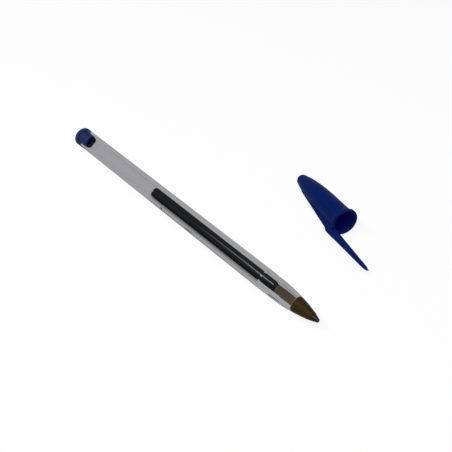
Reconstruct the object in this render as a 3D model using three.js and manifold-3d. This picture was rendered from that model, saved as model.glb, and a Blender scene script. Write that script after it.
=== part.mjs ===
// A clear hexagonal ballpoint pen with its cap taken off beside it, in millimetres, +Z up.
// The pen lies along X on one flat of its barrel at z = 0, with its point at +X.
// The origin is on that flat, under the middle of the barrel.
import * as THREE from "three";
import { mergeVertices } from "three/addons/utils/BufferGeometryUtils.js";
import Module from "manifold-3d";

const wasm = await Module();
wasm.setup();

// Barrel
const barrelLength = 132.5;
const acrossFlats = 7.6;
const edgeRounding = 0.45; // radius along the six edges
const barrelBore = 5;
const noseBore = 3.6; // narrower bore that grips the tip holder
const noseBoreLength = 13;
const boreTaper = 3; // length over which the bore narrows
const noseLength = 17; // from where the edges start to be cut away
const shoulderLength = 12; // from the front end back to the end of that cut
const shoulderDiameter = 7.8;
const noseDiameter = 6.15; // at the front end
const noseCurveReach = 7; // how far the nose stays straight before it curves in
const rearEase = 1.2; // length over which the edges are turned down at the rear end
const rearDiameter = 8.1;
const turningStock = 0.3; // how far the turned shape clears the edges where it leaves them whole
const airHole = 1;
const airHoleFromMiddle = 4.7; // behind the middle of the barrel
const airHoleTurn = 210; // degrees round the barrel, square to a lower side flat

// End plug
const plugFit = 0.05; // radial gap in the bore
const plugLength = 6.8;
const plugWall = 0.75;
const plugFloor = 1.2;
const plugHead = 0.55; // thickness of the head outside the barrel
const plugHeadDiameter = 7.1;
const plugHeadRound = 0.4;

// Tip holder
const holderFit = 0.05; // radial gap in the nose bore
const holderCone = 7.7; // visible cone, from the barrel to the point
const holderStep = 0.05; // how much smaller the cone's foot is than the nose, all round
const holderRim = 0.5; // straight foot of the cone
const holderMouth = 3.05; // diameter at the cone's small end
const holderConeBelly = 0.1; // how far the cone bulges outwards
const shankLength = 6; // inside the nose, up to the end of the ink tube
const tailLength = 4.2; // inside the ink tube
const inkChannel = 1.1; // diameter through the tail

// Ink tube and ink
const tubeDiameter = 3.15;
const tubeWall = 0.475;
const tubeEndGap = 3.2; // from the plug to the tube's rear end
const tailFit = 0.05;
const inkFit = 0.04; // radial gap that keeps the ink's solid clear of the tube's
const inkLength = 69; // from the tail back to the ink's surface
const inkSurfaceDip = 0.5; // depth of the curved surface at its rear end
const seatGap = 0.1; // end gap where one piece butts against another

// Point and ball
const stemDiameter = 1.9;
const stemLength = 5; // inside the tip holder
const stemFit = 0.05;
const pointBase = 2.75; // diameter where the point leaves the holder
const pointLand = 0.35; // straight length there
const pointLength = 2.4; // from the holder to the lip
const lipDiameter = 1.3;
const ballDiameter = 1;
const ballFit = 0.06; // radial running gap round the ball
const ballProud = 0.3; // how far the ball stands out of the lip
const feedChannel = 0.6;

// Cap
const capLength = 34.1; // body, from the closed end to the mouth
const flangeDiameter = 11;
const flangeLength = 1;
const flangeBlend = 2.5; // length over which the body flares to the flange
const neckDiameter = 9.5; // behind the flange
const bellyFromMouth = 13.8;
const bellyDiameter = 9.1;
const endDiameter = 4.8; // where the rounded closed end starts
const endRound = 2.3; // its length
const endFullness = 6.3; // how far the body keeps its slope from the closed end
const endFullnessDiameter = 8.4;
const mouthBore = 9.2;
const mouthLead = 1.6; // length of the lead-in at the mouth
const mouthCut = 0.02; // how far the hollow's cutter passes the mouth
const capWall = 0.75;
const capFloor = 1.3;
const ventHole = 1.6; // breathing hole through the closed end

// Clip, moulded in one piece with the cap
const clipLength = 23.7; // past the mouth
const clipWidth = 3;
const clipTipWidth = 1.1;
const clipInnerRoot = 4.3; // from the cap's axis to the clip's inner face, at the mouth
const clipInnerEnd = 5.6; // the same, near the tip
const clipOuterRoot = 7.4; // to its outer face
const clipOuterEnd = 7.05;
const clipTipReach = 6.15; // the tip's own distance from the axis
const clipTaper = 4; // length over which the tip closes
const heelReach = 7.5; // the thickest place, at the mouth
const heelLength = 3; // back from the mouth
const heelRound = 1;
const clipEdgeRound = 1; // radius along the outer edges, where the clip is deepest
const ribStart = 26.5; // where the rib on the body begins, from the mouth
const ribStartReach = 3.5;
const ribEndReach = 6.7;

// Where the cap lies: its mouth's centre and the way that its mouth faces
const capX = 49.4;
const capY = 42.05;
const capHeading = -15.9; // degrees from +X, seen from above
const tableTouch = 0.01; // how near the table a point counts as touching it

// Working values
const cutterOverrun = 1; // how far a cutter or its stock runs past the piece
const weldDistance = 1e-4; // corners nearer than this are one
const dropSteps = 20; // halvings that settle how far the clip drops

// Steps round each turned piece
const barrelSteps = 48;
const boreSteps = 36;
const tubeSteps = 32;
const holderSteps = 40;
const pointSteps = 32;
const ballSteps = 24;
const capSteps = 48;
const ventSteps = 20;

const rear = -barrelLength / 2;
const front = barrelLength / 2;
const axisHeight = acrossFlats / 2;
const cornerRadius = acrossFlats / Math.sqrt(3);

const colour = (hex, roughness, metalness = 0, opacity = 1) =>
  new THREE.MeshStandardMaterial({ color: hex, roughness, metalness, opacity, transparent: opacity < 1 });

const clearPlastic = colour(0xdfe3e6, 0.08, 0, 0.35);
const tubePlastic = colour(0xe8e6ee, 0.35, 0, 0.5);
const inkBlack = colour(0x101216, 0.25);
const bluePlastic = colour(0x10266e, 0.35);
const brownPlastic = colour(0x3a2a14, 0.35);
const brassMetal = colour(0x9a7a4c, 0.3, 1);
const ballMetal = colour(0x2a2a2c, 0.25, 1);

// Solids

function solid(geometry) {
  const bare = geometry.index ? geometry.toNonIndexed() : geometry.clone();
  bare.deleteAttribute("normal");
  bare.deleteAttribute("uv");
  const merged = mergeVertices(bare, weldDistance);
  return new wasm.Manifold(
    new wasm.Mesh({
      numProp: 3,
      vertProperties: new Float32Array(merged.attributes.position.array),
      triVerts: new Uint32Array(merged.index.array),
    }),
  );
}

function geometryOf(manifold) {
  const mesh = manifold.getMesh();
  const geometry = new THREE.BufferGeometry();
  geometry.setAttribute("position", new THREE.BufferAttribute(mesh.vertProperties, 3));
  geometry.setIndex(new THREE.BufferAttribute(mesh.triVerts, 1));
  return geometry;
}

// Turns an outline of [distance along X, radius] about the X axis. An outline that is off the axis
// closes on itself, and one that starts and ends on the axis makes a full body.
function turned(outline, steps) {
  const points = outline.map(([along, radius]) => new THREE.Vector2(radius, along));
  if (outline[0][1] > 0) points.push(points[0].clone());
  return new THREE.LatheGeometry(points, steps).rotateZ(-Math.PI / 2);
}

// A drilled hole or cylinder of a given diameter along X.
const drilled = (from, to, diameter, steps) =>
  turned([[from, 0], [from, diameter / 2], [to, diameter / 2], [to, 0]], steps);

// Turns an extrusion of a Y-Z section so that it runs along X.
const alongX = new THREE.Matrix4().makeBasis(
  new THREE.Vector3(0, 1, 0),
  new THREE.Vector3(0, 0, 1),
  new THREE.Vector3(1, 0, 0),
);

// Points along a curve with one control point, without its first point.
function bend(start, control, end, count) {
  const curve = new THREE.QuadraticBezierCurve(
    new THREE.Vector2(...start),
    new THREE.Vector2(...control),
    new THREE.Vector2(...end),
  );
  return curve.getPoints(count).slice(1).map((p) => [p.x, p.y]);
}

// A quarter of an ellipse from the axis out to [x, radius], rounding an end that faces -X.
function roundedEnd(x, radius, length, count) {
  return Array.from({ length: count + 1 }, (_, i) => {
    const angle = (i / count) * (Math.PI / 2);
    return [x + length * (1 - Math.cos(angle)), radius * Math.sin(angle)];
  });
}

function piece(name, geometry, material) {
  const mesh = new THREE.Mesh(geometry, material);
  mesh.name = name;
  return mesh;
}

// Barrel: a hexagonal prism inside a turned envelope that shapes its nose and eases its rear end

function hexagon() {
  const corner = (i) => {
    const angle = (i * Math.PI) / 3;
    return new THREE.Vector2(cornerRadius * Math.cos(angle), cornerRadius * Math.sin(angle));
  };
  const share = (edgeRounding * Math.tan(Math.PI / 6)) / cornerRadius;
  const shape = new THREE.Shape();
  for (let i = 0; i < 6; i++) {
    const before = corner(i).lerp(corner(i + 5), share);
    const after = corner(i).lerp(corner(i + 1), share);
    if (i === 0) shape.moveTo(before.x, before.y);
    else shape.lineTo(before.x, before.y);
    shape.quadraticCurveTo(corner(i).x, corner(i).y, after.x, after.y);
  }
  shape.closePath();
  return shape;
}

function barrel() {
  const prism = new THREE.ExtrudeGeometry(hexagon(), {
    depth: barrelLength + 2 * cutterOverrun,
    bevelEnabled: false,
    curveSegments: 4,
  });
  prism.applyMatrix4(alongX).translate(rear - cutterOverrun, 0, 0);

  const clear = cornerRadius + turningStock;
  const shoulder = [front - shoulderLength, shoulderDiameter / 2];
  const envelope = turned(
    [
      [rear, 0],
      [rear, rearDiameter / 2],
      [rear + rearEase, clear],
      [front - noseLength, clear],
      shoulder,
      ...bend(shoulder, [shoulder[0] + noseCurveReach, shoulder[1]], [front, noseDiameter / 2], 10),
      [front, 0],
    ],
    barrelSteps,
  );
  const bore = turned(
    [
      [rear - cutterOverrun, 0],
      [rear - cutterOverrun, barrelBore / 2],
      [front - noseBoreLength - boreTaper, barrelBore / 2],
      [front - noseBoreLength, noseBore / 2],
      [front + cutterOverrun, noseBore / 2],
      [front + cutterOverrun, 0],
    ],
    boreSteps,
  );
  const turn = THREE.MathUtils.degToRad(airHoleTurn);
  const outward = new THREE.Vector3(0, Math.cos(turn), Math.sin(turn));
  const depth = acrossFlats / 2;
  const drillMiddle = depth / 2 + cutterOverrun;
  const drill = new THREE.CylinderGeometry(airHole / 2, airHole / 2, depth, 16)
    .applyQuaternion(new THREE.Quaternion().setFromUnitVectors(new THREE.Vector3(0, 1, 0), outward))
    .translate(-airHoleFromMiddle, outward.y * drillMiddle, outward.z * drillMiddle);
  return geometryOf(
    solid(prism).intersect(solid(envelope)).subtract(solid(bore)).subtract(solid(drill)),
  );
}

// End plug: a cup that is pressed into the rear of the bore, open towards the ink, with a thin head

const plugFront = rear + plugLength;

function endPlug() {
  const body = barrelBore / 2 - plugFit;
  const head = plugHeadDiameter / 2;
  const back = rear - plugHead;
  return turned(
    [
      [back, 0],
      [back, head - plugHeadRound],
      ...bend([back, head - plugHeadRound], [back, head], [back + plugHeadRound, head], 4),
      [rear, head],
      [rear, body],
      [plugFront, body],
      [plugFront, body - plugWall],
      [rear + plugFloor, body - plugWall],
      [rear + plugFloor, 0],
    ],
    boreSteps,
  );
}

// Tip holder: cone outside, shank in the nose, tail in the ink tube, and a hole right through

const holderFront = front + holderCone;
const shankRear = front - shankLength;
const tailRear = shankRear - tailLength;
const tubeInner = tubeDiameter / 2 - tubeWall;

function tipHolder() {
  const foot = noseDiameter / 2 - holderStep;
  const shank = noseBore / 2 - holderFit;
  const tail = tubeInner - tailFit;
  const mouth = holderMouth / 2;
  const belly = [
    (front + holderRim + holderFront) / 2,
    (foot + mouth) / 2 + 2 * holderConeBelly,
  ];
  const stemSeat = stemDiameter / 2 + stemFit;
  const stemRear = holderFront - stemLength;
  return turned(
    [
      [tailRear, inkChannel / 2],
      [tailRear, tail],
      [shankRear, tail],
      [shankRear, shank],
      [front, shank],
      [front, foot],
      [front + holderRim, foot],
      ...bend([front + holderRim, foot], belly, [holderFront, mouth], 5),
      [holderFront, stemSeat],
      [stemRear - seatGap, stemSeat],
      [stemRear - seatGap, inkChannel / 2],
    ],
    holderSteps,
  );
}

// Ink tube, and the ink in it up to the holder's tail

const tubeRear = plugFront + tubeEndGap;

function inkTube() {
  return turned(
    [
      [tubeRear, tubeInner],
      [tubeRear, tubeDiameter / 2],
      [shankRear - seatGap, tubeDiameter / 2],
      [shankRear - seatGap, tubeInner],
    ],
    tubeSteps,
  );
}

function inkColumn() {
  const radius = tubeInner - inkFit;
  const inkFront = tailRear - seatGap;
  return turned(
    [
      ...roundedEnd(inkFront - inkLength, radius, inkSurfaceDip, 4),
      [inkFront, radius],
      [inkFront, 0],
    ],
    tubeSteps,
  );
}

// Point: a stem in the holder, a cone, and a round seat whose lip holds the ball in

const lipFront = holderFront + pointLength;
const ballRadius = ballDiameter / 2;
const ballCentre = lipFront + ballProud - ballRadius;

function pointSocket() {
  const seat = ballRadius + ballFit;
  const stemRear = holderFront - stemLength;
  const feed = feedChannel / 2;
  const fromFeed = Math.PI - Math.asin(feed / seat);
  const toLip = Math.acos((lipFront - ballCentre) / seat);
  const seatSteps = 8;
  const seatArc = Array.from({ length: seatSteps + 1 }, (_, i) => {
    const angle = toLip + ((fromFeed - toLip) * i) / seatSteps;
    return [ballCentre + seat * Math.cos(angle), seat * Math.sin(angle)];
  });
  return turned(
    [
      [stemRear, feed],
      [stemRear, stemDiameter / 2],
      [holderFront, stemDiameter / 2],
      [holderFront, pointBase / 2],
      [holderFront + pointLand, pointBase / 2],
      [lipFront, lipDiameter / 2],
      ...seatArc,
    ],
    pointSteps,
  );
}

function roundBall() {
  return new THREE.SphereGeometry(ballRadius, ballSteps, ballSteps / 2).translate(ballCentre, 0, 0);
}

// Cap: a thin shell with a flange at its mouth, and a clip that grows out of a rib on its side.
// It is made along X with its mouth at x = 0 and its clip below, then laid down.

const flange = flangeDiameter / 2;
const neck = neckDiameter / 2;
const belly = bellyDiameter / 2;
const endStart = -capLength + endRound;
const flareStart = -flangeLength - flangeBlend;

const capBody = [
  ...roundedEnd(-capLength, endDiameter / 2, endRound, 6),
  ...bend(
    [endStart, endDiameter / 2],
    [endStart + endFullness, endFullnessDiameter / 2],
    [-bellyFromMouth, belly],
    10,
  ),
  [flareStart, neck],
];

function capShell() {
  const flare = bend([flareStart, neck], [-flangeLength, neck], [-flangeLength, flange], 5);
  return turned([...capBody, ...flare, [0, flange], [0, 0]], capSteps);
}

function capHollow() {
  const floor = -capLength + capFloor;
  const innerEnd = endDiameter / 2 - capWall;
  return turned(
    [
      [floor, 0],
      [floor, innerEnd],
      ...bend(
        [floor, innerEnd],
        [endStart + endFullness, endFullnessDiameter / 2 - capWall],
        [-bellyFromMouth, belly - capWall],
        8,
      ),
      [-mouthLead, neck - capWall],
      [mouthCut, mouthBore / 2],
      [mouthCut, 0],
    ],
    capSteps,
  );
}

// The rib and the clip: where their side view across Y, their plan across Z and their rounded
// section along X meet
function capClip() {
  const side = new THREE.Shape();
  side.moveTo(-ribStart, -ribStartReach);
  side.lineTo(-heelLength - heelRound, -ribEndReach);
  side.quadraticCurveTo(-heelLength, -heelReach, -heelLength + heelRound, -heelReach);
  side.lineTo(-heelRound, -heelReach);
  side.quadraticCurveTo(0, -heelReach, heelRound, -clipOuterRoot);
  side.lineTo(clipLength - clipTaper, -clipOuterEnd);
  side.quadraticCurveTo(clipLength - clipTaper / 3, -clipOuterEnd, clipLength, -clipTipReach);
  side.lineTo(clipLength - clipTaper / 2, -clipInnerEnd);
  side.lineTo(0, -clipInnerRoot);
  side.lineTo(flareStart, -(neck - capWall / 2));
  side.lineTo(-bellyFromMouth, -(belly - capWall / 2));
  side.lineTo(-ribStart, -(ribStartReach - capWall / 2));
  side.closePath();
  const half = clipWidth / 2;
  const sideSolid = new THREE.ExtrudeGeometry(side, {
    depth: clipWidth,
    bevelEnabled: false,
    curveSegments: 5,
  })
    .translate(0, 0, -half)
    .rotateX(Math.PI / 2);

  const plan = new THREE.Shape();
  const tip = clipTipWidth / 2;
  plan.moveTo(-ribStart - cutterOverrun, -half);
  plan.lineTo(0, -half);
  plan.lineTo(clipLength - tip, -tip);
  plan.absarc(clipLength - tip, 0, tip, -Math.PI / 2, Math.PI / 2);
  plan.lineTo(0, half);
  plan.lineTo(-ribStart - cutterOverrun, half);
  plan.closePath();
  const planSolid = new THREE.ExtrudeGeometry(plan, {
    depth: heelReach + cutterOverrun,
    bevelEnabled: false,
    curveSegments: 5,
  }).translate(0, 0, -heelReach - cutterOverrun);

  const section = new THREE.Shape();
  section.moveTo(-half, 0);
  section.lineTo(-half, -heelReach + clipEdgeRound);
  section.quadraticCurveTo(-half, -heelReach, -half + clipEdgeRound, -heelReach);
  section.lineTo(half - clipEdgeRound, -heelReach);
  section.quadraticCurveTo(half, -heelReach, half, -heelReach + clipEdgeRound);
  section.lineTo(half, 0);
  section.closePath();
  const sectionSolid = new THREE.ExtrudeGeometry(section, {
    depth: ribStart + clipLength + 2 * cutterOverrun,
    bevelEnabled: false,
    curveSegments: 5,
  })
    .applyMatrix4(alongX)
    .translate(-ribStart - cutterOverrun, 0, 0);
  return solid(sideSolid).intersect(solid(planSolid)).intersect(solid(sectionSolid));
}

function cap() {
  const vent = drilled(
    -capLength - cutterOverrun,
    -capLength + capFloor + cutterOverrun,
    ventHole,
    ventSteps,
  );
  return geometryOf(
    solid(capShell()).add(capClip()).subtract(solid(capHollow())).subtract(solid(vent)),
  );
}

const pen = new THREE.Group();
pen.position.set(0, 0, axisHeight);
pen.add(
  piece("barrel", barrel(), clearPlastic),
  piece("end_plug", endPlug(), bluePlastic),
  piece("ink_tube", inkTube(), tubePlastic),
  piece("ink_column", inkColumn(), inkBlack),
  piece("tip_holder", tipHolder(), brownPlastic),
  piece("point_socket", pointSocket(), brassMetal),
  piece("ball", roundBall(), ballMetal),
);

// The cap rests on three places: the back edge of its flange and the fullest part of its body, which
// set its tilt, and the clip's heel, which stops it rolling.
const tilt = Math.min(
  ...capBody
    .filter(([x]) => x < -bellyFromMouth)
    .map(([x, radius]) => Math.atan((flange - radius) / (-flangeLength - x))),
);
const mouthHeight = flange * Math.cos(tilt) + flangeLength * Math.sin(tilt);

// How high the cap's lowest point is, once its clip has dropped by an angle from level.
function lowestPoint(geometry, drop) {
  const lay = new THREE.Euler(drop - Math.PI / 2, -tilt, 0, "ZYX");
  const turn = new THREE.Matrix4().makeRotationFromEuler(lay);
  const corners = geometry.attributes.position;
  const corner = new THREE.Vector3();
  let lowest = Infinity;
  for (let i = 0; i < corners.count; i++)
    lowest = Math.min(lowest, corner.fromBufferAttribute(corners, i).applyMatrix4(turn).z);
  return mouthHeight + lowest;
}

function clipDrop(geometry) {
  let level = 0;
  let sunk = Math.PI / 2;
  for (let step = 0; step < dropSteps; step++) {
    const middle = (level + sunk) / 2;
    if (lowestPoint(geometry, middle) > -tableTouch) level = middle;
    else sunk = middle;
  }
  return level;
}

const capGeometry = cap();
const laidCap = new THREE.Group();
laidCap.position.set(capX, capY, mouthHeight);
laidCap.rotation.set(
  clipDrop(capGeometry) - Math.PI / 2,
  -tilt,
  THREE.MathUtils.degToRad(capHeading),
  "ZYX",
);
laidCap.add(piece("cap", capGeometry, bluePlastic));

const part = new THREE.Group();
part.add(pen, laidCap);
export default part;
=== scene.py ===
import math

import bmesh
import bpy
from mathutils import Matrix, Vector
from mathutils.geometry import interpolate_bezier


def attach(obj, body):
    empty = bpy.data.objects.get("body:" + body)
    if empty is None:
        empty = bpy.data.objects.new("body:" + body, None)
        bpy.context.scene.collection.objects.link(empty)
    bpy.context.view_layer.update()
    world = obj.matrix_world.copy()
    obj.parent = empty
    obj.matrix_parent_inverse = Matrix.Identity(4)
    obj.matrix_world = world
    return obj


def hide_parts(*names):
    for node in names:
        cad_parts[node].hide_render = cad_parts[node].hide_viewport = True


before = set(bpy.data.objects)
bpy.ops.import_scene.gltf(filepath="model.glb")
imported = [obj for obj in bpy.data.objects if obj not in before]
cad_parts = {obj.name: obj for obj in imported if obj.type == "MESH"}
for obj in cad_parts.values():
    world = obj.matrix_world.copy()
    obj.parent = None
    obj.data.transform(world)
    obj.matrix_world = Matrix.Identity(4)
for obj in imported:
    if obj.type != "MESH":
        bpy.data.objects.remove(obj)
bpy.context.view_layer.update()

mm = 0.001  # the pieces are modelled in millimetres and brought to metres at the end
penHeight = 3.8  # the pen's axis above the floor, in millimetres
mergeWithin = 1e-4  # points of a turned outline that lie closer than this become one, in millimetres
sharpAngle = 30  # an edge that turns by more than this, in degrees, isn't shaded smooth
everywhere = 100  # a place along the pen beyond every piece, in millimetres
usualNoise = (0.3, 0.7)  # the values that most of a noise has


def addObject(name, data):
    made = bpy.data.objects.new(name, data)
    bpy.context.scene.collection.objects.link(made)
    return made


# Camera

photoCamera = {
    "azimuth": 49.3806,
    "elevation": 40.5331,
    "distance": 0.280,
    "target": (0.017096, 0.0111106, 0.0),
    "lens": 58.09,
    "sensor": 36.0,
    "near": 0.01,
    "far": 20,
}


def makeCamera():
    turn = math.radians(photoCamera["azimuth"])
    rise = math.radians(photoCamera["elevation"])
    level = math.cos(rise)
    back = Vector((math.sin(turn) * level, -math.cos(turn) * level, math.sin(rise)))
    lens = bpy.data.cameras.new("penCamera")
    lens.lens = photoCamera["lens"]
    lens.sensor_width = photoCamera["sensor"]
    lens.clip_start = photoCamera["near"]
    lens.clip_end = photoCamera["far"]
    camera = addObject("penCamera", lens)
    camera.location = Vector(photoCamera["target"]) + back * photoCamera["distance"]
    camera.rotation_mode = "QUATERNION"
    camera.rotation_quaternion = (-back).to_track_quat("-Z", "Y")
    bpy.context.scene.camera = camera


makeCamera()
print("camera placed")


# Node helpers

def newMaterial(name):
    material = bpy.data.materials.new(name)
    material.use_nodes = True
    tree = material.node_tree
    return material, tree, tree.nodes["Principled BSDF"]


def setSockets(node, values):
    for socket, value in values.items():
        node.inputs[socket].default_value = value


def ownPlace(tree):
    # where a point lies on its piece, in metres
    return tree.nodes.new("ShaderNodeTexCoord").outputs["Object"]


def noise(tree, scale, detail, stretch=(1, 1, 1)):
    mapping = tree.nodes.new("ShaderNodeMapping")
    texture = tree.nodes.new("ShaderNodeTexNoise")
    setSockets(mapping, {"Scale": stretch})
    setSockets(texture, {"Scale": scale, "Detail": detail})
    tree.links.new(ownPlace(tree), mapping.inputs["Vector"])
    tree.links.new(mapping.outputs["Vector"], texture.inputs["Vector"])
    return texture.outputs["Fac"]


def spread(tree, source, given, wanted):
    # takes the given range of values to the wanted one, and holds at its ends
    scale = tree.nodes.new("ShaderNodeMapRange")
    setSockets(scale, dict(zip(("From Min", "From Max", "To Min", "To Max"), (*given, *wanted))))
    tree.links.new(source, scale.inputs["Value"])
    return scale.outputs["Result"]


def blend(tree, factor, low, high):
    # low and high are colours or sockets
    mix = tree.nodes.new("ShaderNodeMix")
    mix.data_type = "RGBA"
    for socket, value in (("A", low), ("B", high)):
        target = [s for s in mix.inputs if s.name == socket and s.type == "RGBA"][0]
        if isinstance(value, tuple):
            target.default_value = (*value, 1)
        else:
            tree.links.new(value, target)
    tree.links.new(factor, mix.inputs["Factor"])
    return [s for s in mix.outputs if s.type == "RGBA"][0]


def bump(tree, height, strength, distance):
    node = tree.nodes.new("ShaderNodeBump")
    setSockets(node, {"Strength": strength, "Distance": distance})
    tree.links.new(height, node.inputs["Height"])
    return node.outputs["Normal"]


def combineMath(tree, operation, first, second):
    # second is a socket or a number
    node = tree.nodes.new("ShaderNodeMath")
    node.operation = operation
    tree.links.new(first, node.inputs[0])
    if isinstance(second, (int, float)):
        node.inputs[1].default_value = second
    else:
        tree.links.new(second, node.inputs[1])
    return node.outputs[0]


def mixShaders(tree, factor, low, high):
    mix = tree.nodes.new("ShaderNodeMixShader")
    tree.links.new(factor, mix.inputs["Fac"])
    tree.links.new(low, mix.inputs[1])
    tree.links.new(high, mix.inputs[2])
    return mix.outputs["Shader"]


def placeAlong(tree):
    # how far along the pen a point lies, in metres
    parts = tree.nodes.new("ShaderNodeSeparateXYZ")
    tree.links.new(ownPlace(tree), parts.inputs["Vector"])
    return parts.outputs["X"]


def along(tree, start, end, low=0.0, high=1.0):
    # low behind start and high beyond end, in millimetres along the pen
    return spread(tree, placeAlong(tree), (start * mm, end * mm), (low, high))


def reachTo(tree, side):
    # how far from the pen's axis a point lies towards the side, in metres
    away = tree.nodes.new("ShaderNodeVectorMath")
    away.operation = "SUBTRACT"
    away.inputs[1].default_value = (0, 0, penHeight * mm)
    reach = tree.nodes.new("ShaderNodeVectorMath")
    reach.operation = "DOT_PRODUCT"
    reach.inputs[1].default_value = side
    tree.links.new(ownPlace(tree), away.inputs[0])
    tree.links.new(away.outputs["Vector"], reach.inputs[0])
    return reach.outputs["Value"]


def toOneSide(tree, side, start, full, end):
    # 1 from start to full, fading to 0 at end, and 0 before start, in millimetres from the pen's axis
    reach = reachTo(tree, side)
    fading = spread(tree, reach, (full * mm, end * mm), (1.0, 0.0))
    return combineMath(tree, "MULTIPLY", fading, combineMath(tree, "GREATER_THAN", reach, start * mm))


# What the clear pieces share

clearLook = {
    "cloudScale": 60,
    "mirrored": 0.99,  # where the rim mirrors more than this share, no light gets out
    "turns": 2.5,  # light turned back more often than this counts as gathered
    "rearTurns": 0.5,  # the same at the rear
    "rearZone": (-30, -29),  # where the rear ends
    # painted glow: the emitted grey shown where light is gathered in the plastic
    "paintedGatheredGlow": (0.30, 0.30, 0.31),
    # painted shade goes towards this side: beside the ink on the clear plastic, and on the ink itself
    "paintedShadeSide": (0, -0.67, -0.74),  # the side on which the ink shades the clear plastic beside it
    "paintedShadeStart": (-12.5, -11.5),  # where along the pen this shade begins and is full
}


def clearPlastic(name, colours, ior, shadowTint, letOutFrom=None, paintedHighlight=None, paintedInkShade=None):
    # light bends in without loss, turns back only where it can't leave, and takes the colour as it leaves;
    # on the barrel's skin that grey is partly the plastic's tint and partly painted shade
    # letOutFrom: the place along the pen beyond which gathered light is let out
    # paintedHighlight: where the painted highlight on the corners begins and ends, and how much of the look
    # it takes at its end
    # paintedInkShade: where the painted shade beside the ink starts, is full and ends towards the shaded
    # side, and its tint
    material, tree, shader = newMaterial(name)
    tree.nodes.remove(shader)
    colour = blend(tree, noise(tree, clearLook["cloudScale"], 2), *colours)
    # painted shade: a tint that darkens the plastic beside the ink, on its lower side
    if paintedInkShade:
        *reach, tint = paintedInkShade
        beside = toOneSide(tree, clearLook["paintedShadeSide"], *reach)
        shaded = combineMath(tree, "MULTIPLY", beside, along(tree, *clearLook["paintedShadeStart"]))
        colour = blend(tree, shaded, colour, tint)
    bend = tree.nodes.new("ShaderNodeBsdfRefraction")
    turnBack = tree.nodes.new("ShaderNodeBsdfAnisotropic")
    rim = tree.nodes.new("ShaderNodeFresnel")
    facing = tree.nodes.new("ShaderNodeNewGeometry")
    path = tree.nodes.new("ShaderNodeLightPath")
    setSockets(bend, {"Roughness": 0.0, "IOR": ior})
    setSockets(turnBack, {"Roughness": 0.0, "Color": (1, 1, 1, 1)})
    setSockets(rim, {"IOR": ior})
    tree.links.new(blend(tree, facing.outputs["Backfacing"], (1, 1, 1), colour), bend.inputs["Color"])
    # light turned back too often shows as painted glow, an emitted grey for light gathered in the plastic,
    # or in the nose goes straight out
    paintedGatheredGlow = tree.nodes.new("ShaderNodeEmission")
    setSockets(paintedGatheredGlow, {"Color": (*clearLook["paintedGatheredGlow"], 1)})
    material.cycles.emission_sampling = "NONE"
    lastTurn = paintedGatheredGlow.outputs["Emission"]
    if letOutFrom is not None:
        letOut = tree.nodes.new("ShaderNodeBsdfTransparent")
        tree.links.new(colour, letOut.inputs["Color"])
        inNose = combineMath(tree, "GREATER_THAN", placeAlong(tree), letOutFrom * mm)
        lastTurn = mixShaders(tree, inNose, lastTurn, letOut.outputs["BSDF"])
    allowed = along(tree, *clearLook["rearZone"], clearLook["rearTurns"], clearLook["turns"])
    often = combineMath(tree, "GREATER_THAN", path.outputs["Glossy Depth"], allowed)
    back = mixShaders(tree, often, turnBack.outputs["BSDF"], lastTurn)
    held = combineMath(tree, "GREATER_THAN", rim.outputs["Fac"], clearLook["mirrored"])
    clear = mixShaders(tree, held, bend.outputs["BSDF"], back)
    if paintedHighlight:
        start, end, share = paintedHighlight
        # a matt white lobe lit by the lamps: a painted highlight along the corners
        paintedHighlightLobe = tree.nodes.new("ShaderNodeBsdfDiffuse")
        clear = mixShaders(tree, along(tree, start, end, 0.0, share), clear, paintedHighlightLobe.outputs["BSDF"])
    # soft light and the lamps' light shine straight on
    through = tree.nodes.new("ShaderNodeBsdfTransparent")
    setSockets(through, {"Color": (*shadowTint, 1)})
    straight = combineMath(tree, "MAXIMUM", path.outputs["Is Shadow Ray"], path.outputs["Is Diffuse Ray"])
    clear = mixShaders(tree, straight, clear, through.outputs["BSDF"])
    tree.links.new(clear, tree.nodes["Material Output"].inputs["Surface"])
    return material


# What the moulded pieces share

mouldedLook = {
    "colourScale": 90,
    "sheenScale": 300,
    "grainScale": 2400,
    "grain": 0.12,
    "grainDepth": 0.00004,
    "paintedGlowFade": 0.2,
}


def moulded(name, look, colour="colour", shade="shade", beyond=None, paintedGlow=None):
    # look is the piece's dictionary, in which colour and shade name the two colours that the piece mixes
    # beyond: where another colour begins and is full, and that colour, which on the plug is painted shade
    # paintedGlow: an emitted colour that stands in for light reaching the piece, and where along it this
    # ends
    material, tree, shader = newMaterial(name)
    if paintedGlow:
        light, end = paintedGlow
        paintedGlowShare = along(tree, end - mouldedLook["paintedGlowFade"], end, 1.0, 0.0)
        setSockets(shader, {"Emission Color": (*light, 1)})
        tree.links.new(paintedGlowShare, shader.inputs["Emission Strength"])
        material.cycles.emission_sampling = "NONE"
    setSockets(shader, {"Specular IOR Level": look["specular"]})
    mixed = blend(tree, noise(tree, mouldedLook["colourScale"], 4), look[shade], look[colour])
    if beyond:
        start, end, other = beyond
        mixed = blend(tree, along(tree, start, end), mixed, other)
    sheen = spread(tree, noise(tree, mouldedLook["sheenScale"], 3), usualNoise, look["roughness"])
    grain = noise(tree, mouldedLook["grainScale"], 2)
    normal = bump(tree, grain, mouldedLook["grain"], mouldedLook["grainDepth"])
    tree.links.new(mixed, shader.inputs["Base Color"])
    tree.links.new(sheen, shader.inputs["Roughness"])
    tree.links.new(normal, shader.inputs["Normal"])
    return material


# Mesh helpers

def evenly(start, end, count):
    return [start + (end - start) * i / count for i in range(count + 1)]


def curve(start, control, end, count):
    # points of a quadratic curve after its start; its handles lie two thirds of the way to the control
    a, c, b = (Vector((x, r, 0)) for x, r in (start, control, end))
    points = interpolate_bezier(a, a.lerp(c, 2 / 3), b.lerp(c, 2 / 3), b, count + 1)
    return [(p.x, p.y) for p in points[1:]]


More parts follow.
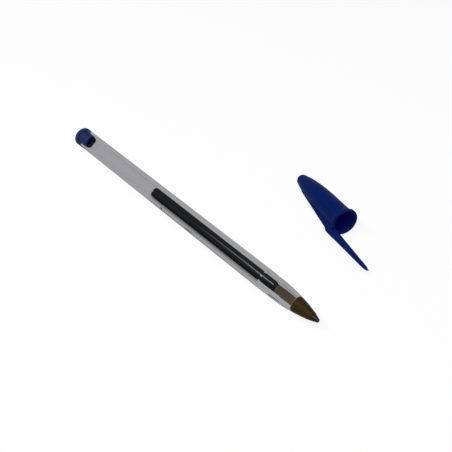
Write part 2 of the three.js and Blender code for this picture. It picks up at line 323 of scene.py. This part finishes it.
def turned(outline, steps, closed=True):
    # an outline of (x, radius) turned once about x
    bm = bmesh.new()
    points = [bm.verts.new((x, 0, r)) for x, r in outline]
    for a, b in zip(points, points[1:]):
        bm.edges.new((a, b))
    if closed:
        bm.edges.new((points[-1], points[0]))
    bmesh.ops.spin(
        bm, geom=bm.verts[:] + bm.edges[:], axis=(1, 0, 0), cent=(0, 0, 0),
        steps=steps, angle=math.tau, use_merge=True,
    )
    bmesh.ops.remove_doubles(bm, verts=bm.verts, dist=mergeWithin)
    bmesh.ops.recalc_face_normals(bm, faces=bm.faces)
    return bm


def thicken(corners, thickness):
    # a flat outline carried along the vector thickness, its faces not yet turned outward
    bm = bmesh.new()
    face = bm.faces.new([bm.verts.new(corner) for corner in corners])
    made = bmesh.ops.extrude_face_region(bm, geom=[face])["geom"]
    bmesh.ops.translate(bm, vec=thickness, verts=[g for g in made if isinstance(g, bmesh.types.BMVert)])
    return bm


def easeEdges(bm, size, least=40, where=lambda e: True):
    # rounds the edges that turn by more than the least angle, in degrees
    sharp = [
        e for e in bm.edges
        if len(e.link_faces) == 2 and e.calc_face_angle() > math.radians(least) and where(e)
    ]
    bmesh.ops.bevel(
        bm, geom=sharp, offset=size, offset_type="OFFSET", affect="EDGES",
        segments=3, profile=0.5, material=-1, clamp_overlap=True,
    )


def meshObject(name, bm):
    mesh = bpy.data.meshes.new(name)
    bm.to_mesh(mesh)
    bm.free()
    return addObject(name, mesh)


def toObject(name, bm, place=None):
    # without a place, what was modelled about the x axis goes to the pen's axis
    place = place or Matrix.Translation((0, 0, penHeight))
    bmesh.ops.transform(bm, matrix=Matrix.Scale(mm, 4) @ place, verts=bm.verts)
    return meshObject(name, bm)


def combine(piece, other, operation):
    modifier = piece.modifiers.new("combine", "BOOLEAN")
    modifier.operation = operation
    modifier.solver = "EXACT"
    modifier.object = other
    bpy.context.view_layer.update()
    made = bpy.data.meshes.new_from_object(piece.evaluated_get(bpy.context.evaluated_depsgraph_get()))
    piece.modifiers.clear()
    old = piece.data
    piece.data = made
    made.name = piece.name
    bpy.data.meshes.remove(old)
    bpy.data.objects.remove(other)


def finishPiece(piece, materials, body, node, partOf=None):
    # materials by the name of the part they are for
    # partOf gives the part that a face belongs to, from its centre in millimetres and its normal
    for material in materials.values():
        piece.data.materials.append(material)
    piece.data.shade_smooth()
    piece.data.set_sharp_from_angle(angle=math.radians(sharpAngle))
    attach(piece, body)
    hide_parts(node)
    if partOf:
        parts = list(materials)
        for face in piece.data.polygons:
            face.material_index = parts.index(partOf(face.center / mm, face.normal))
    print(piece.name, "made with", len(piece.data.polygons), "faces")


# Floor, world and lamps

studio = {
    "floorSize": 6.0,
    "floorDrop": 0.00006,
    "floorColour": (0.95, 0.95, 0.95),
    "floorRoughness": 0.9,
    "floorGlow": 0.88,
    "worldFill": 0.12,
    "worldColour": (1.0, 1.0, 1.0),
    "lamps": (
        # name, where it stands, size, power
        ("overheadBox", (0.14, -0.27, 0.74), 0.6, 5.2),
        ("sideBox", (-0.30, -0.33, 0.57), 0.14, 1.5),
    ),
}


def seenRays(tree):
    # 1 for what is seen directly, mirrored or through clear plastic, and 0 for light that falls on things
    path = tree.nodes.new("ShaderNodeLightPath")
    seen = path.outputs["Is Camera Ray"]
    for output in ("Is Glossy Ray", "Is Transmission Ray"):
        seen = combineMath(tree, "MAXIMUM", seen, path.outputs[output])
    return seen


def makeFloor():
    bm = bmesh.new()
    bmesh.ops.create_grid(bm, x_segments=1, y_segments=1, size=studio["floorSize"] / 2)
    bmesh.ops.translate(bm, vec=(0, 0, -studio["floorDrop"]), verts=bm.verts)
    floor = meshObject("paleFloor", bm)
    material, tree, shader = newMaterial("paleFloor")
    setSockets(shader, {"Base Color": (*studio["floorColour"], 1), "Roughness": studio["floorRoughness"]})
    setSockets(shader, {"Specular IOR Level": 0.0})
    glow = tree.nodes.new("ShaderNodeEmission")
    share = combineMath(tree, "MULTIPLY", seenRays(tree), studio["floorGlow"])
    shown = mixShaders(tree, share, shader.outputs["BSDF"], glow.outputs["Emission"])
    tree.links.new(shown, tree.nodes["Material Output"].inputs["Surface"])
    floor.data.materials.append(material)


def makeWorld():
    world = bpy.data.worlds.new("studio")
    bpy.context.scene.world = world
    world.use_nodes = True
    tree = world.node_tree
    fill = tree.nodes["Background"]
    white = tree.nodes.new("ShaderNodeBackground")
    setSockets(fill, {"Color": (*studio["worldColour"], 1), "Strength": studio["worldFill"]})
    setSockets(white, {"Color": (*studio["worldColour"], 1)})
    shown = mixShaders(tree, seenRays(tree), fill.outputs["Background"], white.outputs["Background"])
    tree.links.new(shown, tree.nodes["World Output"].inputs["Surface"])


def makeLamps():
    for name, where, size, power in studio["lamps"]:
        light = bpy.data.lights.new(name, "AREA")
        light.size = size
        light.energy = power
        lamp = addObject(name, light)
        lamp.location = where
        lamp.visible_transmission = False  # what the clear barrel shows is the floor, not the lamps
        aim = Vector(photoCamera["target"]) - lamp.location
        lamp.rotation_euler = aim.to_track_quat("-Z", "Y").to_euler()


makeFloor()
makeWorld()
makeLamps()
bpy.context.scene.view_settings.view_transform = "Standard"
print("studio lit")


# Barrel: a clear hexagon, cut away to a round nose

barrel = {
    "rear": -66.25,
    "front": 66.25,
    "acrossFlats": 7.6,
    "cornerEase": 0.26,
    "cornerSteps": 8,
    "leastFlat": 1.0,  # a flat's edge is longer than this, a corner's shorter
    "flatCuts": 15,
    "rearRadius": 4.05,
    "rearEase": 8.0,
    "rearSteps": 12,
    "straightSteps": 28,
    "noseStart": 49.25,
    "noseSteps": 68,
    "noseClear": 0.3,  # how far the nose's outline starts outside the corners
    "shoulder": (54.25, 3.9),
    "shoulderBend": (61.25, 3.9),
    "noseEnd": 3.075,
    "outlineSteps": 24,
    "boreRadius": 2.5,
    "boreEnd": 50.25,
    "boreSteps": 12,
    "noseBoreStart": 53.25,
    "noseBoreMiddle": 57.25,
    "noseBoreRadius": 1.8,
    "holePlace": -4.7,
    "holeTurn": 210,
    "holeRadius": 0.5,
    "holeSteps": 48,
    "drillAway": 3.4,  # the drill's middle, from the axis
    "drillDepth": 3.0,
    # the grey on leaving the barrel: partly the plastic's tint, partly painted shade for the shaded floor
    # seen through it
    "skin": ((0.345, 0.345, 0.36), (0.37, 0.37, 0.385)),
    "skinShadow": (0.80, 0.80, 0.80),
    "wall": ((0.99, 0.99, 0.99), (1.0, 1.0, 1.0)),
    "wallShadow": (0.97, 0.97, 0.97),
    "ior": 1.59,
    "wallIor": 1.04,
    "plugZoneIor": 1.12,
    "plugZoneEnd": -49.5,
    "letOutFrom": 49.75,
    # painted shade on the bore wall beside the ink
    "paintedInkShade": (1.3, 1.7, 2.15, (0.66, 0.66, 0.66)),
    # a painted highlight along the corners, growing towards the nose
    "paintedHighlight": (16, 57, 0.25),
    "paintedHighlightSpread": 2.3,  # degrees to each side of a corner
    "innerReach": 2.7,  # what lies closer to the axis than this is the bore's wall
    # the rear face's colour, also shown as painted glow
    "ring": (0.062, 0.082, 0.175),
    "paintedRingGlowShade": (0.046, 0.063, 0.142),
    "ringCloudScale": 120,
    "paintedRingGlow": 0.8,
    "ringRoughness": 0.6,
    "ringSpecular": 0.1,
    "endFacing": 0.9,  # a face that looks along the pen by more than this is part of an end
}
acrossPen = Matrix.Rotation(math.pi / 2, 4, "Y")  # stands a flat ring across the pen


def barrelOutline():
    # how far from the axis the outside may stand, as points of (x, radius)
    clear = barrel["acrossFlats"] / math.sqrt(3) + barrel["noseClear"]
    front = (barrel["front"], barrel["noseEnd"])
    return [
        (barrel["rear"], clear),
        (barrel["noseStart"], clear),
        barrel["shoulder"],
        *curve(barrel["shoulder"], barrel["shoulderBend"], front, barrel["outlineSteps"]),
    ]


def radiusAt(outline, x):
    for (x0, r0), (x1, r1) in zip(outline, outline[1:]):
        if x <= x1:
            return r0 + (r1 - r0) * (x - x0) / (x1 - x0)
    return outline[-1][1]


def sweep(bm, ring, stations):
    # carries a ring of edges through stations of (x, radial scale), and returns the last ring
    place = stations[0][0]
    for x, scale in stations[1:]:
        made = bmesh.ops.extrude_edge_only(bm, edges=ring)["geom"]
        corners = [g for g in made if isinstance(g, bmesh.types.BMVert)]
        ring = [g for g in made if isinstance(g, bmesh.types.BMEdge) and all(v in corners for v in g.verts)]
        bmesh.ops.translate(bm, vec=(x - place, 0, 0), verts=corners)
        bmesh.ops.scale(bm, vec=(1, scale, scale), verts=corners)
        place = x
    return ring


def barrelStations():
    # the rear end's ease, the straight stretch and the nose
    easeEnd = barrel["rear"] + barrel["rearEase"]
    return [
        *evenly(barrel["rear"], easeEnd, barrel["rearSteps"]),
        *evenly(easeEnd, barrel["noseStart"], barrel["straightSteps"])[1:],
        *evenly(barrel["noseStart"], barrel["front"], barrel["noseSteps"])[1:],
    ]


def addSkin(bm):
    # returns the rings of edges at the rear and at the front
    radius = barrel["acrossFlats"] / math.sqrt(3)
    bmesh.ops.create_circle(bm, cap_ends=True, segments=6, radius=radius, matrix=acrossPen)
    bmesh.ops.bevel(
        bm, geom=bm.verts[:], offset=barrel["cornerEase"], offset_type="OFFSET", affect="VERTICES",
        segments=barrel["cornerSteps"], profile=0.5, material=-1,
    )
    flats = [e for e in bm.edges if e.calc_length() > barrel["leastFlat"]]
    bmesh.ops.subdivide_edges(bm, edges=flats, cuts=barrel["flatCuts"])
    bmesh.ops.delete(bm, geom=bm.faces[:], context="FACES_ONLY")
    bmesh.ops.translate(bm, vec=(barrel["rear"], 0, 0), verts=bm.verts)
    rear = bm.edges[:]
    front = sweep(bm, rear, [(x, 1) for x in barrelStations()])
    outline = barrelOutline()
    for v in bm.verts:
        away = math.hypot(v.co.y, v.co.z)
        wanted = min(away, radiusAt(outline, v.co.x))
        eased = min((v.co.x - barrel["rear"]) / barrel["rearEase"], 1)
        wanted += (barrel["rearRadius"] - wanted) * (1 - eased) ** 2 * (1 + 2 * eased)
        v.co.y *= wanted / away
        v.co.z = max(v.co.z * wanted / away, -barrel["acrossFlats"] / 2)
    return rear, front


def addBore(bm, around):
    # returns the rings of edges at the rear and at the front
    start = Matrix.Translation((barrel["rear"], 0, 0)) @ acrossPen
    made = bmesh.ops.create_circle(bm, segments=around, radius=barrel["boreRadius"], matrix=start)["verts"]
    corners = set(made)
    rear = [e for e in bm.edges if e.verts[0] in corners and e.verts[1] in corners]
    narrower = barrel["noseBoreRadius"] / barrel["boreRadius"]
    stations = [(x, 1) for x in evenly(barrel["rear"], barrel["boreEnd"], barrel["boreSteps"])]
    stations += [(barrel["noseBoreStart"], narrower), (barrel["noseBoreMiddle"], 1), (barrel["front"], 1)]
    return rear, sweep(bm, rear, stations)


def makeDrill():
    turn = math.radians(barrel["holeTurn"])
    outward = Vector((0, math.cos(turn), math.sin(turn)))
    middle = outward * barrel["drillAway"] + Vector((barrel["holePlace"], 0, 0))
    radius = barrel["holeRadius"]
    drill = bmesh.new()
    bmesh.ops.create_cone(
        drill, cap_ends=True, segments=barrel["holeSteps"],
        radius1=radius, radius2=radius, depth=barrel["drillDepth"],
        matrix=Matrix.Translation(middle) @ outward.to_track_quat("Z", "X").to_matrix().to_4x4(),
    )
    return toObject("airHoleDrill", drill)


def makeBarrel():
    bm = bmesh.new()
    outerRear, outerFront = addSkin(bm)
    innerRear, innerFront = addBore(bm, len(outerRear))
    bmesh.ops.bridge_loops(bm, edges=outerRear + innerRear)
    bmesh.ops.bridge_loops(bm, edges=outerFront + innerFront)
    bmesh.ops.recalc_face_normals(bm, faces=bm.faces)
    piece = toObject("barrelBody", bm)
    combine(piece, makeDrill(), "DIFFERENCE")
    return piece


def paintedGlowRearFaceMaterial():
    # the ring round the plug, seen through the clear plastic, has a painted glow that stands in for the
    # light gathered there
    material, tree, shader = newMaterial("clearRearFacePaintedGlow")
    ring = blend(tree, noise(tree, barrel["ringCloudScale"], 3), barrel["paintedRingGlowShade"], barrel["ring"])
    tree.links.new(ring, shader.inputs["Base Color"])
    tree.links.new(ring, shader.inputs["Emission Color"])
    setSockets(shader, {"Emission Strength": barrel["paintedRingGlow"], "Roughness": barrel["ringRoughness"]})
    setSockets(shader, {"Specular IOR Level": barrel["ringSpecular"]})
    return material


def barrelMaterials():
    skin, skinShadow, ior = barrel["skin"], barrel["skinShadow"], barrel["ior"]
    wall, wallShadow, wallIor = barrel["wall"], barrel["wallShadow"], barrel["wallIor"]
    return {
        "skin": clearPlastic("clearBarrelPlastic", skin, ior, skinShadow, letOutFrom=barrel["letOutFrom"]),
        "wall": clearPlastic("clearBoreWall", wall, wallIor, wallShadow, paintedInkShade=barrel["paintedInkShade"]),
        "noseWall": clearPlastic("clearNoseBore", wall, ior, wallShadow),
        "corners": clearPlastic("clearCornersPaintedHighlight", skin, ior, skinShadow, paintedHighlight=barrel["paintedHighlight"]),
        "rearFace": paintedGlowRearFaceMaterial(),
        "plugZone": clearPlastic("clearPlugZone", skin, barrel["plugZoneIor"], skinShadow),
    }


def barrelPart(centre, normal):
    height = centre.z - penHeight
    apart = 30  # degrees from the middle of a flat to a corner
    fromFlat = math.degrees(math.atan2(height, centre.y)) % (2 * apart) - apart
    if abs(normal.x) > barrel["endFacing"]:
        return "rearFace" if centre.x < 0 else "skin"
    if math.hypot(centre.y, height) < barrel["innerReach"]:
        return "noseWall" if centre.x > barrel["boreEnd"] else "wall"
    if centre.x < barrel["plugZoneEnd"]:
        return "plugZone"
    atCorner = abs(fromFlat) > apart - barrel["paintedHighlightSpread"]
    return "corners" if atCorner and centre.x < barrel["paintedHighlight"][1] else "skin"


finishPiece(makeBarrel(), barrelMaterials(), "pen", "barrel", barrelPart)


# End plug: a blue cup pressed into the rear of the bore

plug = {
    "back": -66.8,
    "headRadius": 3.55,
    "headRound": 0.4,
    "crown": 0.12,
    "crownSteps": 10,
    "roundSteps": 8,
    "seat": -66.25,
    "bodyRadius": 2.52,
    "front": -59.45,
    "innerRadius": 1.7,
    "floor": -65.05,
    "around": 96,
    "edgeEase": 0.12,
    "easeFrom": -66.15,
    "colour": (0.021, 0.034, 0.122),
    "shade": (0.015, 0.026, 0.098),
    # painted shade on the cup's front face and inside it
    "paintedCupShade": (-59.8, -59.5, (0.008, 0.0135, 0.048)),
    "roughness": (0.28, 0.42),
    "specular": 0.06,
}


def makePlug():
    back, head, ease = plug["back"], plug["headRadius"], plug["headRound"]
    shoulder = back + plug["crown"]
    flat = (shoulder, head - ease)
    outline = [
        (back, 0),
        *curve((back, 0), (back, head / 2), flat, plug["crownSteps"]),
        *curve(flat, (shoulder, head), (shoulder + ease, head), plug["roundSteps"]),
        (plug["seat"], head),
        (plug["seat"], plug["bodyRadius"]),
        (plug["front"], plug["bodyRadius"]),
        (plug["front"], plug["innerRadius"]),
        (plug["floor"], plug["innerRadius"]),
        (plug["floor"], 0),
    ]
    bm = turned(outline, plug["around"], closed=False)
    easeEdges(bm, plug["edgeEase"], where=lambda e: all(v.co.x > plug["easeFrom"] for v in e.verts))
    return toObject("endPlugCup", bm)


blue = moulded("bluePlugPlastic", plug, beyond=plug["paintedCupShade"])
finishPiece(makePlug(), {"cup": blue}, "pen", "end_plug")


# Ink tube

tube = {
    "rear": -56.25,
    "front": 60.15,
    "outer": 1.575,
    "inner": 1.1,
    "steps": 24,
    "around": 96,
    "colours": ((0.985, 0.985, 0.99), (1.0, 0.995, 1.0)),
    "shadowTint": (0.97, 0.97, 0.97),
    "ior": 1.01,
    "noseIor": 1.49,
    # painted shade on the tube beside the ink
    "paintedInkShade": (1.0, 1.1, 1.6, (0.25, 0.25, 0.25)),
}


def makeTube():
    places = evenly(tube["rear"], tube["front"], tube["steps"])
    outline = [(x, tube["outer"]) for x in places] + [(x, tube["inner"]) for x in reversed(places)]
    return toObject("inkTubeWall", turned(outline, tube["around"]))


def tubeMaterials():
    colours, tint = tube["colours"], tube["shadowTint"]
    return {
        "straight": clearPlastic("milkyTubePlastic", colours, tube["ior"], tint, paintedInkShade=tube["paintedInkShade"]),
        "nose": clearPlastic("milkyTubeNose", colours, tube["noseIor"], tint),
    }


def tubePart(centre, normal):
    return "nose" if centre.x > barrel["boreEnd"] else "straight"


finishPiece(makeTube(), tubeMaterials(), "pen", "ink_tube", tubePart)


# Ink

ink = {
    "rear": -13.05,
    "front": 57.3,
    "radius": 1.12,
    "rearRound": 0.7,
    "roundSteps": 14,
    "steps": 16,
    "around": 96,
    # painted glow on the ink, and the dimmer glow of its painted shade on the lower side
    "paintedGlow": (0.0175, 0.0185, 0.0200),
    "paintedGlowShade": (0.0135, 0.0140, 0.0150),
    "cloudScale": 200,
    "paintedLowerShadeGlow": (0.0064, 0.0067, 0.0071),
    "paintedLowerShadeRange": (-0.6, 0.6),  # where towards the shaded side paintedLowerShadeGlow begins and is full
}


def makeInk():
    radius, straight = ink["radius"], ink["rear"] + ink["rearRound"]
    outline = [
        (ink["rear"], 0),
        *curve((ink["rear"], 0), (ink["rear"], radius), (straight, radius), ink["roundSteps"]),
        *[(x, radius) for x in evenly(straight, ink["front"], ink["steps"])[1:]],
        (ink["front"], 0),
    ]
    return toObject("inkColumnFill", turned(outline, ink["around"], closed=False))


def inkMaterial():
    # black ink gives no light back: what shows is a painted glow for the plastic's haze before it, lighter
    # above and with painted shade below
    material, tree, shader = newMaterial("blackInk")
    setSockets(shader, {"Base Color": (0, 0, 0, 1), "Specular IOR Level": 0.0, "Emission Strength": 1.0})
    paintedUpperGlow = blend(tree, noise(tree, ink["cloudScale"], 3), ink["paintedGlowShade"], ink["paintedGlow"])
    start, full = ink["paintedLowerShadeRange"]
    paintedLowerShadeMask = spread(tree, reachTo(tree, clearLook["paintedShadeSide"]), (start * mm, full * mm), (0.0, 1.0))
    tree.links.new(blend(tree, paintedLowerShadeMask, paintedUpperGlow, ink["paintedLowerShadeGlow"]), shader.inputs["Emission Color"])
    material.cycles.emission_sampling = "NONE"
    return material


finishPiece(makeInk(), {"fill": inkMaterial()}, "pen", "ink_column")


# Tip holder: the brown cone, its shank in the nose and its tail in the tube

holder = {
    "tailRear": 57.35,
    "tailRadius": 1.12,
    "channel": 0.55,
    "shankRear": 60.25,
    "shankRadius": 1.75,
    "foot": 66.25,
    "footRadius": 3.025,
    "rim": 0.5,
    "belly": (70.35, 2.475),
    "bellySteps": 24,
    "mouth": 73.95,
    "mouthRadius": 1.525,
    "stemSeat": 1.0,
    "stemRear": 68.85,
    "around": 96,
    "edgeEase": 0.1,
    "easeBeyond": 1.2,  # only edges farther from the axis than this are eased
    "colour": (0.026, 0.020, 0.012),
    "shade": (0.018, 0.013, 0.007),
    # painted glow on the shank and tail inside the barrel, up to the foot
    "paintedGlow": ((0.046, 0.036, 0.024), 66.25),
    "cone": (66.15, 66.35, (0.030, 0.0165, 0.0025)),
    "roughness": (0.3, 0.42),
    "specular": 0.05,
}


def makeHolder():
    rim = (holder["foot"] + holder["rim"], holder["footRadius"])
    mouth = (holder["mouth"], holder["mouthRadius"])
    outline = [
        (holder["tailRear"], holder["channel"]),
        (holder["tailRear"], holder["tailRadius"]),
        (holder["shankRear"], holder["tailRadius"]),
        (holder["shankRear"], holder["shankRadius"]),
        (holder["foot"], holder["shankRadius"]),
        (holder["foot"], holder["footRadius"]),
        rim,
        *curve(rim, holder["belly"], mouth, holder["bellySteps"]),
        (holder["mouth"], holder["stemSeat"]),
        (holder["stemRear"], holder["stemSeat"]),
        (holder["stemRear"], holder["channel"]),
    ]
    bm = turned(outline, holder["around"])
    least = holder["easeBeyond"]
    outer = lambda e: all(math.hypot(v.co.y, v.co.z) > least for v in e.verts)
    easeEdges(bm, holder["edgeEase"], where=outer)
    return toObject("tipHolderCone", bm)


brown = moulded("brownHolderPlastic", holder, beyond=holder["cone"], paintedGlow=holder["paintedGlow"])
finishPiece(makeHolder(), {"cone": brown}, "pen", "tip_holder")


# Brass point and its ball

point = {
    "stemRear": 68.95,
    "stemRadius": 0.95,
    "base": 73.95,
    "baseRadius": 1.375,
    "land": 0.35,
    "roll": (76.23, 0.68),
    "lip": (76.35, 0.63),
    "seatRadius": 0.56,
    "seatSteps": 16,
    "feed": 0.3,
    "around": 80,
    "ballCentre": 76.15,
    "ballRadius": 0.5,
    "ballFineness": 5,
    "brass": (0.026, 0.019, 0.011),
    "brassShade": (0.013, 0.009, 0.005),
    "brassRoughness": (0.22, 0.4),
    "steel": (0.10, 0.10, 0.11),
    "steelShade": (0.03, 0.03, 0.035),
    "steelRoughness": (0.15, 0.3),
    "markScale": 900,
    "markStretch": (1, 0.2, 0.2),  # the turning marks run round the piece
    "sheenScale": 1500,
}


def makePoint():
    seat, centre = point["seatRadius"], point["ballCentre"]
    fromLip = math.acos((point["lip"][0] - centre) / seat)
    toFeed = math.pi - math.asin(point["feed"] / seat)
    turns = evenly(fromLip, toFeed, point["seatSteps"])
    outline = [
        (point["stemRear"], point["feed"]),
        (point["stemRear"], point["stemRadius"]),
        (point["base"], point["stemRadius"]),
        (point["base"], point["baseRadius"]),
        (point["base"] + point["land"], point["baseRadius"]),
        point["roll"],
        point["lip"],
        *[(centre + seat * math.cos(turn), seat * math.sin(turn)) for turn in turns],
    ]
    return toObject("pointSocketBrass", turned(outline, point["around"]))


def makeBall():
    bm = bmesh.new()
    place = Matrix.Translation((point["ballCentre"], 0, 0))
    radius, fineness = point["ballRadius"], point["ballFineness"]
    bmesh.ops.create_icosphere(bm, subdivisions=fineness, radius=radius, matrix=place)
    return toObject("writingBall", bm)


def metal(name, kind):
    # kind is the first word of the metal's entries among the point's
    material, tree, shader = newMaterial(name)
    marks = noise(tree, point["markScale"], 3, stretch=point["markStretch"])
    sheen = spread(tree, noise(tree, point["sheenScale"], 2), usualNoise, point[kind + "Roughness"])
    setSockets(shader, {"Metallic": 1.0})
    tree.links.new(blend(tree, marks, point[kind + "Shade"], point[kind]), shader.inputs["Base Color"])
    tree.links.new(sheen, shader.inputs["Roughness"])
    return material


finishPiece(makePoint(), {"point": metal("turnedBrass", "brass")}, "pen", "point_socket")
finishPiece(makeBall(), {"ball": metal("hardBallMetal", "steel")}, "ball", "ball")


# Cap, moulded in one with its clip, lying beside the pen

cap = {
    "mouthCentre": (49.4, 42.05, 5.5542),
    "heading": -15.9,  # degrees
    "tilt": 0.066399,  # radians
    "drop": 0.643333,  # radians
    "vent": 0.8,
    "closedEnd": -34.1,
    "endSteps": 12,
    "endStart": (-31.8, 2.4),
    "fullness": (-25.5, 4.2),
    "fullSteps": 28,
    "belly": (-13.8, 4.55),
    "bellySteps": 6,
    "flare": (-3.5, 4.75),
    "flareSteps": 10,
    "flange": (-1.0, 5.5),
    "lip": 4.6,
    "throat": (-1.6, 4.0),
    "innerBelly": (-13.8, 3.8),
    "innerFullness": (-25.5, 3.45),
    "innerSteps": 20,
    "floor": (-32.8, 1.65),
    "around": 144,
    "edgeEase": 0.14,
    "easeLeast": 50,
    "colour": (0.0012, 0.0120, 0.102),
    "shade": (0.0006, 0.0075, 0.078),
    # painted shade: darker colours for the inside of the cap
    "hollow": (0.0007, 0.0065, 0.060),
    "hollowShade": (0.0004, 0.0042, 0.046),
    # painted glow inside the cap, for light through its wall
    "paintedGlowThrough": (0.0004, 0.0010, 0.028),
    "roughness": (0.4, 0.55),
    "specular": 0.03,
    "hollowStart": -0.05,
    "hollowFacing": 0.3,  # the hollow's faces look towards the axis by more than this
}

# the clip's places are (x, distance from the cap's axis) with x from the cap's mouth
clip = {
    "half": 1.5,
    "tipHalf": 0.55,
    "length": 23.7,
    "rib": (-26.5, 3.5),
    "heelRear": ((-4.0, 6.7), (-3.0, 7.5), (-2.0, 7.5)),
    "heelFront": ((-1.0, 7.5), (0.0, 7.5), (1.0, 7.4)),
    "heelReach": 7.5,
    "heelSteps": 6,
    "tip": ((19.7, 7.05), (22.37, 7.05), (23.7, 6.15)),
    "tipSteps": 10,
    "underside": (
        (21.7, 5.6), (0.0, 4.3), (0.0, 4.75), (-1.6, 4.3), (-3.5, 4.375), (-13.8, 4.175), (-26.5, 3.125),
    ),
    # where the clip is cut across, so that its plan can narrow, closer together at the round tip
    "cuts": (0.01, 5, 10, 15, 18, 20, 21, 22, 22.6, 23.1, 23.4, 23.55, 23.65),
    "leastWidth": 0.12,
    "edgeRound": 1.0,
    "roundSteps": 8,
    "sectionSpan": (-27.5, 24.7),
}


def capOutline():
    end, (startX, startR) = cap["closedEnd"], cap["endStart"]
    (bellyX, bellyR), (flareX, flareR) = cap["belly"], cap["flare"]
    flangeR = cap["flange"][1]
    lean = math.asin(cap["vent"] / startR)
    straight = zip(evenly(bellyX, flareX, cap["bellySteps"]), evenly(bellyR, flareR, cap["bellySteps"]))
    return [
        *[(end + (startX - end) * (1 - math.cos(a)), startR * math.sin(a))
          for a in evenly(lean, math.pi / 2, cap["endSteps"])],
        *curve(cap["endStart"], cap["fullness"], cap["belly"], cap["fullSteps"]),
        *list(straight)[1:],
        *curve(cap["flare"], (cap["flange"][0], flareR), cap["flange"], cap["flareSteps"]),
        (0, flangeR),
        (0, cap["lip"]),
        cap["throat"],
        cap["innerBelly"],
        *curve(cap["innerBelly"], cap["innerFullness"], cap["floor"], cap["innerSteps"]),
        (cap["floor"][0], cap["vent"]),
    ]


def makeClip():
    half, tip, length = clip["half"], clip["tipHalf"], clip["length"]
    side = [clip["rib"]]
    for bend, steps in (("heelRear", "heelSteps"), ("heelFront", "heelSteps"), ("tip", "tipSteps")):
        side += [clip[bend][0], *curve(*clip[bend], clip[steps])]
    side += clip["underside"]
    bm = thicken([(x, -half, -reach) for x, reach in side], (0, 2 * half, 0))
    for x in clip["cuts"]:
        whole = bm.verts[:] + bm.edges[:] + bm.faces[:]
        bmesh.ops.bisect_plane(bm, geom=whole, dist=1e-5, plane_co=(x, 0, 0), plane_no=(1, 0, 0))
    for v in bm.verts:
        if v.co.x > 0:
            width = half + (tip - half) * v.co.x / (length - tip)
            past = v.co.x - (length - tip)
            if past > 0:
                width = max(clip["leastWidth"], math.sqrt(max(0, tip * tip - past * past)))
            v.co.y *= width / half
    bmesh.ops.recalc_face_normals(bm, faces=bm.faces)
    return bm


def makeClipSection():
    # the clip's cross-section, with rounded outer edges, carried along its whole length
    half, reach, ease = clip["half"], clip["heelReach"], clip["edgeRound"]
    start, end = clip["sectionSpan"]
    outline = [
        (-half, 0),
        (-half, ease - reach),
        *curve((-half, ease - reach), (-half, -reach), (ease - half, -reach), clip["roundSteps"]),
        (half - ease, -reach),
        *curve((half - ease, -reach), (half, -reach), (half, ease - reach), clip["roundSteps"]),
        (half, 0),
    ]
    bm = thicken([(start, y, z) for y, z in outline], (end - start, 0, 0))
    bmesh.ops.recalc_face_normals(bm, faces=bm.faces)
    return bm


def capPlace():
    # from the cap's own axes, with its mouth at the origin, to where it lies
    return (
        Matrix.Translation(cap["mouthCentre"]) @ Matrix.Rotation(math.radians(cap["heading"]), 4, "Z")
        @ Matrix.Rotation(-cap["tilt"], 4, "Y") @ Matrix.Rotation(cap["drop"] - math.pi / 2, 4, "X")
    )


def makeCap():
    bm = turned(capOutline(), cap["around"])
    easeEdges(bm, cap["edgeEase"], least=cap["easeLeast"])
    laid = capPlace()
    piece = toObject("capWithClip", bm, laid)
    clipPart = toObject("capClipPart", makeClip(), laid)
    combine(clipPart, toObject("capClipSection", makeClipSection(), laid), "INTERSECT")
    combine(piece, clipPart, "UNION")
    return piece


def capMaterials():
    # the inside gets painted shade and a painted glow
    lit = (cap["paintedGlowThrough"], everywhere)
    return {
        "outside": moulded("blueCapPlastic", cap),
        "hollow": moulded("blueCapPaintedShadeInside", cap, "hollow", "hollowShade", paintedGlow=lit),
    }


toCapAxes = capPlace().inverted()


def capPart(centre, normal):
    centre, normal = toCapAxes @ centre, toCapAxes.to_3x3() @ normal
    inward = centre.y * normal.y + centre.z * normal.z < -cap["hollowFacing"]
    within = centre.x < cap["hollowStart"] and math.hypot(centre.y, centre.z) < cap["lip"]
    return "hollow" if inward and within else "outside"


finishPiece(makeCap(), capMaterials(), "cap", "cap", capPart)

print("all pieces made")
